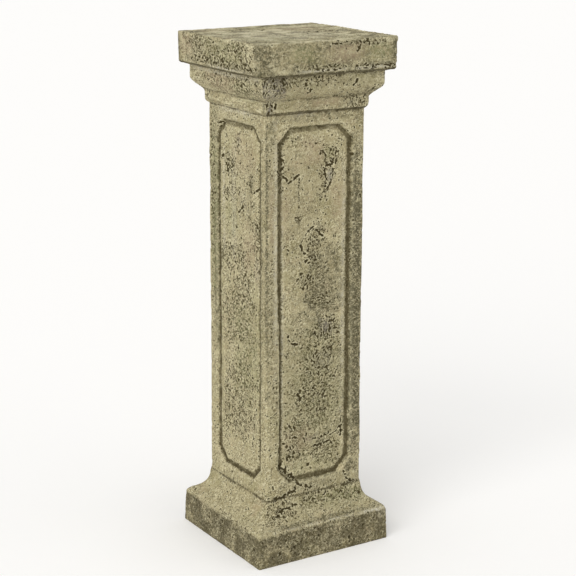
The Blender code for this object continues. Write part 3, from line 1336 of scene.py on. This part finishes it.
def write_floats(mesh: bpy.types.Mesh, name: str, values: Array) -> None:
    """Keep one number for each vertex under this name."""
    attribute = mesh.attributes.new(name, "FLOAT", "POINT")
    attribute.data.foreach_set("value", np.ascontiguousarray(values, np.float32))


def linear(colour: str) -> tuple[float, float, float, float]:
    """An sRGB hex colour as the linear colour that a shader takes."""
    channels = [int(colour[at : at + 2], 16) / 255 for at in (1, 3, 5)]
    return (*(c / 12.92 if c <= 0.04045 else ((c + 0.055) / 1.055) ** 2.4 for c in channels), 1.0)


Vector = tuple[float, float, float]
Socket = bpy.types.NodeSocket
Value = Socket | Vector | float | str


class Node(Enum):
    """What a node does: its type and settings, the inputs that it is given in order, and its output."""

    POINT = ("TexCoord", {}, (), "Object")
    HEIGHT = ("SeparateXYZ", {}, (0,), "Z")
    MOVE = ("Mapping", {}, ("Vector", "Location", "Scale"), 0)
    NOISE = ("TexNoise", {}, ("Vector", "Scale", "Detail", "Roughness", "Distortion"), "Fac")
    CELLS = ("TexVoronoi", {}, ("Vector", "Scale"), "Distance")
    KEPT = ("Attribute", {}, (), "Fac")
    RAMP = ("MapRange", {"interpolation_type": "SMOOTHSTEP"}, (0, 1, 2, 3, 4), 0)
    SUM = ("Math", {"operation": "ADD"}, (0, 1), 0)
    PRODUCT = ("Math", {"operation": "MULTIPLY"}, (0, 1), 0)
    LESS = ("Math", {"operation": "SUBTRACT"}, (0, 1), 0)
    SIZE = ("Math", {"operation": "ABSOLUTE"}, (0,), 0)
    MIX = ("Mix", {"data_type": "RGBA", "clamp_factor": True}, (0, 6, 7), 2)
    BLEND = ("Mix", {"data_type": "FLOAT"}, (0, 2, 3), 0)
    BUMP = ("Bump", {}, ("Strength", "Distance", "Height"), 0)
    SURFACE = ("BsdfPrincipled", {}, ("Base Color", "Roughness", "Normal", "Specular IOR Level"), 0)
    OUTPUT = ("OutputMaterial", {}, ("Surface",), None)


RAMP, SUM, PRODUCT, LESS, MIX, BLEND = (
    Node.RAMP, Node.SUM, Node.PRODUCT, Node.LESS, Node.MIX, Node.BLEND
)


@dataclass(frozen=True)
class Pattern:
    """Noise of a real size.

    Attributes:
        size: distance between its blobs, in mm.
        detail: how many finer sizes are added.
        rough: how strong the finer ones are.
        shift: metres that it is moved by, so that no two are alike.
        stretch: how many times longer its blobs are along each axis.
        twist: how much the blobs are curled.
        step: millimetres that it is read to one side of the point.
    """

    size: float
    detail: float = 3.0
    rough: float = 0.55
    shift: float = 0.0
    stretch: Vector = (1.0, 1.0, 1.0)
    twist: float = 0.0
    step: Vector = (0.0, 0.0, 0.0)


class Graph:
    """A node tree, with one short way to add the nodes that a material is made of."""

    def __init__(self, material: bpy.types.Material) -> None:
        """Start an empty tree on the material.

        Args:
            material: what the tree belongs to. Its old nodes are removed.
        """
        material.use_nodes = True
        self.tree = material.node_tree
        self.tree.nodes.clear()
        self.place = self.add(Node.POINT)
        self.height = self.add(Node.HEIGHT, self.place)

    def add(self, kind: Node, *values: Value, **settings: str) -> Socket | None:
        """Add one node, or a chain of them where a sum or a product has more than two values.

        Args:
            kind: what the node does.
            values: for each input, another node's output, a number, a vector or an sRGB hex colour. An
                input that gets none keeps its default.
            settings: properties of the node besides those of its kind.

        Returns:
            The node's output, if it has one.
        """
        type_name, common, inputs, output = kind.value
        while len(values) > len(inputs):
            values = (self.add(kind, *values[:2]), *values[2:])
        node = self.tree.nodes.new("ShaderNode" + type_name)
        for name, setting in (common | settings).items():
            setattr(node, name, setting)
        for name, value in zip(inputs, values):
            if isinstance(value, Socket):
                self.tree.links.new(value, node.inputs[name])
            else:
                node.inputs[name].default_value = linear(value) if isinstance(value, str) else value
        return None if output is None else node.outputs[output]

    def read(self, source: Pattern | str, *limits: float) -> Socket:
        """Read a pattern, or a number that is kept on the mesh under a name.

        Args:
            source: the pattern or the name.
            limits: where given, the value is eased, and they are what a ramp takes: the low and the high
                value, and what these two become, which is 0 and 1 unless it is given.

        Returns:
            The value at each point.
        """
        if isinstance(source, str):
            value = self.add(Node.KEPT, attribute_name=source)
        else:
            along = tuple(zip(source.step, source.stretch))
            moved_by = tuple(source.shift + part * MM / times for part, times in along)
            moved = self.add(Node.MOVE, self.place, moved_by, tuple(1.0 / times for _, times in along))
            scale = 1.0 / (source.size * MM)
            value = self.add(Node.NOISE, moved, scale, source.detail, source.rough, source.twist)
        return self.add(RAMP, value, *limits) if limits else value

    def near(self, value: Socket, level: float, far: float, close: float) -> Socket:
        """Ease from 0, where a value is this far from a level, to 1, where it is this close to it."""
        return self.add(RAMP, self.add(Node.SIZE, self.add(LESS, value, level)), far, close)

    def torn(self, value: Socket, ragged: Socket, reach: float) -> Socket:
        """A value that ragged noise moves up and down by up to about a fifth of the reach."""
        return self.add(SUM, value, self.add(PRODUCT, self.add(SUM, ragged, -0.5), reach))


@dataclass(frozen=True)
class Drift:
    """A tone that comes and goes with a pattern: none of it where that is low, most where it is high."""

    pattern: Pattern
    low: float
    high: float
    most: float
    colour: str


@dataclass(frozen=True)
class CastStone:
    """Reconstituted limestone, cast in a mould, then given a dark wash and left out in the weather.

    The wash stays in the pits, grooves and tool marks, and the raised parts are rubbed pale. It is dry and
    matt all over, so the eye gets its form from that difference in tone and hardly any from gloss. The
    heights are in metres, from where a finish starts to where it is complete.
    """

    stone: str = "#9A8F6B"
    dull: str = "#857C59"
    wash: str = "#463E26"
    groove: str = "#696146"
    fill: str = "#7B7356"
    seam: str = "#3E3722"
    rubbed: str = "#D2CAA7"
    brown: str = "#6E6446"
    roughness: float = 0.93
    gloss: float = 0.2
    bump: float = 0.7
    bump_mm: float = 0.9
    hole_spacing_mm: float = 9.5
    band: Point = (0.872, 0.882)
    top: Point = (1.0075, 1.0095)
    filled: Point = (0.810, 0.835)
    drifts: tuple[Drift, ...] = (
        Drift(Pattern(42.0, 4.0), 0.38, 0.62, 1.0, "#ADA27E"),
        Drift(Pattern(70.0, 4.0, 0.6, 3.1), 0.48, 0.7, 0.7, "#8E875F"),
        Drift(Pattern(36.0, 4.0, 0.6, 7.7), 0.52, 0.72, 0.5, "#AD9A7B"),
        Drift(Pattern(15.0, 4.0, 0.65, 8.4), 0.5, 0.64, 0.6, "#857C59"),
    )
    uneven: Pattern = Pattern(9.0, 4.0, 0.7, 5.3)
    blotches: Pattern = Pattern(11.0, 5.0, 0.7, 11.3)
    flecks: Pattern = Pattern(4.4, 2.0, 0.7, 12.9, twist=0.6)
    ragged: Pattern = Pattern(4.2, 3.0, 0.65, 6.7)
    trowel_streaks: Pattern = Pattern(46.0, 1.0, 0.5, 13.1, (1.3, 1.0, 1.0), 0.5)
    trowel_dashes: Pattern = Pattern(30.0, 0.5, 0.5, 21.7, (1.1, 1.0, 1.0), 0.4)
    dashed_places: Pattern = Pattern(75.0, 2.0, 0.6, 29.3)
    level_streaks: Pattern = Pattern(6.0, 2.0, 0.6, 17.9, (4.0, 4.0, 1.0), 0.5)
    fine_pits: Pattern = Pattern(4.0, 2.0, 0.7, 1.9)
    strokes: Pattern = Pattern(5.2, 1.0, 0.6, 4.6, (1.0, 1.0, 1.3), 1.6)
    level_scratches: Pattern = Pattern(6.5, 1.0, 0.5, 2.6, (1.0, 1.0, 0.28))
    curls: Pattern = Pattern(8.0, 1.0, 0.5, 6.1, (1.0, 1.0, 1.3), 1.2)
    curled_places: Pattern = Pattern(12.0, 2.0, 0.6, 9.9)
    grain: Pattern = Pattern(4.6, 2.0, 0.7, 3.3, twist=0.8)
    # The grain read a step towards the key light, for the painted highlight and shade on the grains.
    grain_towards_light: Pattern = Pattern(4.6, 2.0, 0.7, 3.3, twist=0.8, step=(-1.2, 1.2, 1.2))
    grainy_places: Pattern = Pattern(30.0, 3.0, 0.6, 19.4)
    hole_edges: Pattern = Pattern(3.6, 2.0, 0.6, 27.1)
    holed_places: Pattern = Pattern(24.0, 2.0, 0.6, 23.9)
    groove_patches: Pattern = Pattern(14.0, 3.0, 0.6, 15.2)

    def material(self) -> bpy.types.Material:
        """The stone as a material."""
        made = bpy.data.materials.new("aged_cast_stone")
        graph = Graph(made)
        uneven = graph.read(self.uneven, 0.3, 0.7, 0.55, 1.25)
        blotched = graph.read(self.blotches, 0.36, 0.62, 0.45, 1.2)
        flecked = graph.read(self.flecks, 0.42, 0.58, 1.4, 0.45)
        ragged = graph.read(self.ragged)
        relief, colour = self._speckled(graph, self._streaked(graph, self._drifts(graph)))
        colour = self._tinted(graph, colour, graph.add(PRODUCT, blotched, flecked))
        colour = self._rubbed(graph, colour, uneven)
        colour = self._grooved(graph, colour, ragged)
        colour = self._washed(graph, colour, uneven, graph.add(PRODUCT, uneven, flecked), ragged)
        bump = graph.add(Node.BUMP, self.bump, self.bump_mm * MM, relief)
        graph.add(Node.OUTPUT, graph.add(Node.SURFACE, colour, self.roughness, bump, self.gloss))
        return made

    def _drifts(self, graph: Graph) -> Socket:
        """The broad drifts of tone that the mix and the damp leave in the stone.

        Args:
            graph: the node tree.

        Returns:
            The stone's colour, from which all the others start.
        """
        colour = self.stone
        for drift in self.drifts:
            share = graph.read(drift.pattern, drift.low, drift.high, 0.0, drift.most)
            colour = graph.add(MIX, share, colour, drift.colour)
        return colour

    def _streaked(self, graph: Graph, colour: Socket) -> Socket:
        """Brown and pale trowel streaks, side to side on the flat top and level round the cap.

        Args:
            graph: the node tree.
            colour: the stone before.

        Returns:
            The stone's colour with them.
        """
        add, read = graph.add, graph.read
        streaks, dashes = read(self.trowel_streaks), read(self.trowel_dashes)
        top = add(RAMP, graph.height, *self.top)
        light = add(SUM, add(RAMP, streaks, 0.52, 0.6, 0.0, 0.5), add(RAMP, dashes, 0.52, 0.58, 0.0, 0.65))
        dark = add(SUM, add(RAMP, streaks, 0.46, 0.38, 0.0, 0.5), add(RAMP, dashes, 0.46, 0.4, 0.0, 0.8))
        some = read(self.dashed_places, 0.44, 0.56, 0.2, 1.0)
        deep = add(PRODUCT, add(RAMP, dashes, 0.44, 0.38, 0.0, 0.9), some)
        for share, tone in ((light, self.rubbed), (dark, self.brown), (deep, self.wash)):
            colour = add(MIX, add(PRODUCT, share, top), colour, tone)
        cap = add(PRODUCT, add(RAMP, graph.height, *self.band), add(RAMP, graph.height, *self.top[::-1]))
        level, calm = read(self.level_streaks), read("smooth", 0.0, 1.0, 1.0, 0.25)
        dark = add(PRODUCT, add(RAMP, level, 0.48, 0.39, 0.0, 0.7), cap, calm)
        light = add(PRODUCT, add(RAMP, level, 0.52, 0.61, 0.0, 0.6), cap, calm)
        return add(MIX, light, add(MIX, dark, colour, self.brown), self.rubbed)

    def _speckled(self, graph: Graph, colour: Socket) -> tuple[Socket, Socket]:
        """Fine pits with wash in them, curling scratches, and the fine grains between them, each grain
        painted pale where it faces the key light and dark where it faces away, as painted highlight and
        shade.

        Args:
            graph: the node tree.
            colour: the stone before.

        Returns:
            The height of the fine relief, and the stone's colour with it.
        """
        add, read = graph.add, graph.read
        zone = read("zone")
        curled = add(BLEND, add(RAMP, zone, 0.2, 0.8, 0.2, 0.8), read(self.fine_pits), read(self.strokes))
        height = add(BLEND, read("hatch", 0.0, 1.0, 0.1, 0.6), curled, read(self.level_scratches))
        lowered = add(LESS, height, add(RAMP, zone, 0.0, 0.8, -0.055, 0.05))
        pit = add(RAMP, lowered, 0.44, 0.38, 0.0, 0.95)
        rim = add(PRODUCT, add(RAMP, lowered, 0.45, 0.48), add(RAMP, lowered, 0.55, 0.49), 0.6)
        curl, broken = read(self.curls), read(self.curled_places, 0.5, 0.6)
        scratch = add(PRODUCT, graph.near(curl, 0.48, 0.03, 0.006), broken, 0.7)
        lip = add(PRODUCT, graph.near(curl, 0.53, 0.03, 0.006), broken, 0.5)
        strong = read(self.grainy_places, 0.42, 0.58, 0.35, 1.3)
        # Painted highlight and shade: the grain less the same grain a step towards the key light paints each
        # grain pale where it faces the light and dark where it faces away.
        rise = add(LESS, read(self.grain), read(self.grain_towards_light))
        painted_emboss = add(PRODUCT, rise, add(PRODUCT, strong, read("smooth", 0.0, 1.0, 1.0, 0.2)))
        lit = add(RAMP, painted_emboss, 0.0, 0.15, 0.0, 0.55)
        shaded = add(RAMP, painted_emboss, -0.005, -0.15, 0.0, 0.58)
        hole, edge = self._holes(graph, zone)
        grains = add(PRODUCT, add(RAMP, height, 0.56, 0.66, 0.0, 0.8), zone)
        # lit is painted highlight, mixed in with the pale rims and grains.
        colour = add(MIX, add(SUM, grains, rim, lip, lit, edge), colour, self.rubbed)
        colour = add(MIX, add(RAMP, zone, 0.3, 1.0, 0.0, 0.12), colour, self.dull)
        raised = add(SUM, add(RAMP, lowered, 0.36, 0.6), add(PRODUCT, scratch, -0.8), add(PRODUCT, lip, 0.5))
        # shaded is painted shade, mixed in with the wash of the pits.
        dark = add(SUM, pit, scratch, shaded, hole)
        return add(LESS, raised, hole), add(MIX, dark, colour, self.wash)

    def _holes(self, graph: Graph, zone: Socket) -> tuple[Socket, Socket]:
        """Scattered small air holes full of wash, and their pale edges.

        Args:
            graph: the node tree.
            zone: how finely pitted the stone is.

        Returns:
            How much each point lies in a hole, and how much on an edge.
        """
        add, read = graph.add, graph.read
        spots = add(Node.CELLS, graph.place, 1.0 / (self.hole_spacing_mm * MM))
        off = graph.torn(spots, read(self.hole_edges), 0.7)
        here = add(RAMP, add(SUM, read(self.holed_places), add(PRODUCT, zone, 0.08)), 0.48, 0.53)
        hole = add(PRODUCT, add(RAMP, off, 0.22, 0.16), here)
        edge = add(PRODUCT, add(RAMP, off, 0.21, 0.26), add(RAMP, off, 0.4, 0.3), here, 0.6)
        return hole, edge

    def _tinted(self, graph: Graph, colour: Socket, blotched: Socket) -> Socket:
        """Dirt, moss and the other tints in their patches. A few of the dirt patches hold painted shade, and
        one chalk line is a painted highlight.

        Args:
            graph: the node tree.
            colour: the stone before.
            blotched: what their amounts are multiplied by.

        Returns:
            The stone's colour with them.
        """
        for tint in Tint:
            share = graph.add(PRODUCT, graph.read(tint.attribute), blotched)
            colour = graph.add(MIX, share, colour, tint.value)
        return colour

    def _rubbed(self, graph: Graph, colour: Socket, uneven: Socket) -> Socket:
        """The arrises and the rims of the pits, rubbed pale.

        Args:
            graph: the node tree.
            colour: the stone before.
            uneven: what the amount is multiplied by.

        Returns:
            The stone's colour with them.
        """
        arris = graph.add(PRODUCT, graph.read("hollow", -0.06, -0.45), 0.2)
        rim = graph.add(PRODUCT, graph.read("rim", 0.05, 0.6), 0.6)
        share = graph.add(PRODUCT, graph.add(SUM, arris, rim), uneven)
        return graph.add(MIX, share, colour, self.rubbed)

    def _grooved(self, graph: Graph, colour: Socket, ragged: Socket) -> Socket:
        """The wash that fills the grooves of the panels, and the pale lips along their two edges.

        Args:
            graph: the node tree.
            colour: the stone before.
            ragged: noise that tears the edges of the wash.

        Returns:
            The stone's colour with them.
        """
        add, read = graph.add, graph.read
        inside = graph.torn(read("inside"), ragged, 16.0)
        bare = read("faded", 0.0, 1.0, 1.0, 0.0)
        patchy = read(self.groove_patches, 0.4, 0.6, 0.5, 1.15)
        within = add(PRODUCT, add(RAMP, inside, 2.5, 6.0), add(RAMP, inside, 15.5, 12.0), bare, 0.85)
        core = add(PRODUCT, graph.near(inside, 9.3, 4.2, 1.2), bare, patchy, 0.8)
        lips = add(SUM, graph.near(inside, -1.8, 2.4, 0.6), graph.near(inside, 18.0, 2.4, 0.6))
        colour = add(MIX, add(PRODUCT, lips, patchy, 0.1), colour, self.rubbed)
        tone = add(MIX, add(RAMP, graph.height, *self.filled), self.groove, self.fill)
        return add(MIX, core, add(MIX, within, colour, tone), self.wash)

    def _washed(
        self, graph: Graph, colour: Socket, uneven: Socket, flecked: Socket, ragged: Socket
    ) -> Socket:
        """The wash in hollows and cuts, and the dark of the seams, which is dirt and under the overhangs
        painted shade, all with ragged edges.

        Args:
            graph: the node tree.
            colour: the stone before.
            uneven: what the wash in hollows and cuts is multiplied by.
            flecked: the same for the seams.
            ragged: noise that tears the edges.

        Returns:
            The stone's colour with the wash.
        """
        add, read = graph.add, graph.read
        hollow = add(RAMP, graph.torn(read("hollow"), ragged, 0.5), 0.08, 0.4, 0.0, 0.7)
        cut = add(RAMP, graph.torn(read("cut"), ragged, 2.0), 0.35, 1.2, 0.0, 0.95)
        depth = add(SUM, hollow, read("recess", 0.5, 2.5, 0.0, 0.2), cut)
        colour = add(MIX, add(PRODUCT, depth, uneven), colour, self.wash)
        seam = read("seam")
        crisp = add(RAMP, graph.torn(seam, ragged, 1.6), 0.3, 0.7)
        colour = add(MIX, add(PRODUCT, seam, flecked, 0.58), colour, self.seam)
        return add(MIX, add(PRODUCT, crisp, add(RAMP, seam, 0.0, 0.3), 0.7), colour, self.seam)


@dataclass(frozen=True)
class Pedestal:
    """The pedestal: one piece of aged cast stone.

    Attributes:
        fine: distance between rows of the mesh on the mouldings, in mm.
        coarse: distance between rows on the shaft.
        columns: quads across a side.
        seed: the number that the random fields grow from.
        most_triangles: what the mesh is thinned to.
        quick_factor: how many times coarser a quick mesh is; not used.
    """

    fine: float = 1.0
    coarse: float = 1.5
    columns: int = 190
    seed: int = 11
    most_triangles: int = 196_000
    quick_factor: int = 2

    def casting(self) -> Casting:
        """The casting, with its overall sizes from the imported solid.
        """
        low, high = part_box(SOLID_NODE)
        coarser = 1
        height, top = (high[2] - low[2]) / MM, (high[0] - low[0]) / 2 / MM
        outline = Outline(height, top, self.fine * coarser, self.coarse * coarser)
        return Casting(outline, Panel(), Ageing(), Noise(self.seed), self.columns // coarser)

    def mesh(self) -> bpy.types.Mesh:
        """The aged casting, thinned to the triangles that its form needs.

        Returns:
            The mesh of the piece, in metres and with its attributes.
        """
        dense = self.casting().build()
        LOG.info("pedestal_stone: %d quads before thinning", len(dense.polygons))
        draft = bpy.data.objects.new("draft", dense)
        bpy.context.scene.collection.objects.link(draft)
        thin = draft.modifiers.new("thin", "DECIMATE")
        thin.ratio = min(1.0, self.most_triangles / (2 * len(dense.polygons)))
        graph = bpy.context.evaluated_depsgraph_get()
        mesh = bpy.data.meshes.new_from_object(draft.evaluated_get(graph))
        bpy.data.objects.remove(draft, do_unlink=True)
        bpy.data.meshes.remove(dense)
        mesh.name = "pedestal_stone"
        mesh.shade_smooth()
        return mesh

    def build(self) -> bpy.types.Object:
        """Make the piece, give it its stone and put it on its body.

        Returns:
            The piece.
        """
        mesh = self.mesh()
        piece = bpy.data.objects.new("pedestal_stone", mesh)
        bpy.context.scene.collection.objects.link(piece)
        piece.data.materials.append(CastStone().material())
        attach(piece, BODY)
        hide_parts(SOLID_NODE)
        LOG.info("pedestal_stone: %d faces", len(mesh.polygons))
        return piece


@dataclass(frozen=True)
class Sun:
    """A large soft light, far away.

    Attributes:
        name: what it is called.
        towards: the direction in which it stands.
        strength: how strong it is.
        spread: how many degrees of the sky it fills.
    """

    name: str
    towards: Vector
    strength: float
    spread: float

    def build(self) -> None:
        """Add the light to the scene."""
        light = bpy.data.lights.new(self.name, "SUN")
        light.energy = self.strength
        light.angle = math.radians(self.spread)
        lamp = bpy.data.objects.new(self.name, light)
        x, y, z = self.towards
        lamp.rotation_euler = (math.atan2(math.hypot(x, y), z), 0.0, math.atan2(x, -y))
        bpy.context.scene.collection.objects.link(lamp)


@dataclass(frozen=True)
class Studio:
    """A pale floor, soft light and the camera of the reference view.

    Attributes:
        eye: where the camera stands, in metres.
        heading: degrees that it is turned to the right of +Y.
        dip: degrees that it looks down.
        roll: degrees that it leans.
        lens_mm: focal length on the sensor.
        sensor_mm: width of the sensor.
        floor_m: width of the floor.
        floor_colour: its sRGB colour.
        floor_glow: light that it gives off, as under a lit table.
        sky: sRGB colour of the even light from all round.
        sky_strength: how strong that is.
        suns: the other lights.
    """

    eye: Vector = (-1.6200, -2.5952, 1.3166)
    heading: float = 32.078
    dip: float = 14.773
    roll: float = 0.214
    lens_mm: float = 100.03
    sensor_mm: float = 36.0
    floor_m: float = 60.0
    floor_colour: str = "#F7F6F4"
    floor_glow: float = 0.09
    sky: str = "#FFFFFF"
    sky_strength: float = 0.55
    suns: tuple[Sun, ...] = (
        Sun("key", (-0.85, -0.50, 0.50), 1.7, 50.0),
        Sun("fill", (0.60, -0.80, 0.30), 0.35, 70.0),
        Sun("overhead", (0.0, 0.0, 1.0), 0.45, 30.0),
    )

    def build(self) -> None:
        """Set up the floor, the lights and the camera."""
        self._floor()
        self._sky()
        for sun in self.suns:
            sun.build()
        self._camera()
        bpy.context.scene.view_settings.view_transform = "Standard"

    def _floor(self) -> None:
        """A wide matt floor."""
        grid = bmesh.new()
        bmesh.ops.create_grid(grid, x_segments=1, y_segments=1, size=self.floor_m / 2)
        mesh = bpy.data.meshes.new("floor")
        grid.to_mesh(mesh)
        grid.free()
        floor = bpy.data.objects.new("floor", mesh)
        bpy.context.scene.collection.objects.link(floor)
        material = bpy.data.materials.new("painted_floor")
        material.use_nodes = True
        shader = material.node_tree.nodes["Principled BSDF"]
        shader.inputs["Base Color"].default_value = linear(self.floor_colour)
        shader.inputs["Roughness"].default_value = 0.9
        shader.inputs["Specular IOR Level"].default_value = 0.0
        shader.inputs["Emission Color"].default_value = linear(self.floor_colour)
        shader.inputs["Emission Strength"].default_value = self.floor_glow
        mesh.materials.append(material)

    def _sky(self) -> None:
        """Even light from all round."""
        world = bpy.data.worlds.new("studio")
        world.use_nodes = True
        background = world.node_tree.nodes["Background"]
        background.inputs["Color"].default_value = linear(self.sky)
        background.inputs["Strength"].default_value = self.sky_strength
        bpy.context.scene.world = world

    def _camera(self) -> None:
        """The camera of the reference view."""
        camera = bpy.data.cameras.new("camera")
        camera.lens = self.lens_mm
        camera.sensor_width = self.sensor_mm
        holder = bpy.data.objects.new("camera", camera)
        turn = Matrix.Rotation(math.radians(-self.heading), 4, "Z")
        tilt = Matrix.Rotation(math.radians(90.0 - self.dip), 4, "X")
        lean = Matrix.Rotation(math.radians(self.roll), 4, "Z")
        holder.matrix_world = Matrix.Translation(self.eye) @ turn @ tilt @ lean
        bpy.context.scene.collection.objects.link(holder)
        bpy.context.scene.camera = holder


def main() -> None:
    """Build the pedestal and the studio."""
    logging.basicConfig(level=logging.INFO, format="%(name)s: %(message)s")
    Pedestal().build()
    Studio().build()


if __name__ == "__main__":
    main()
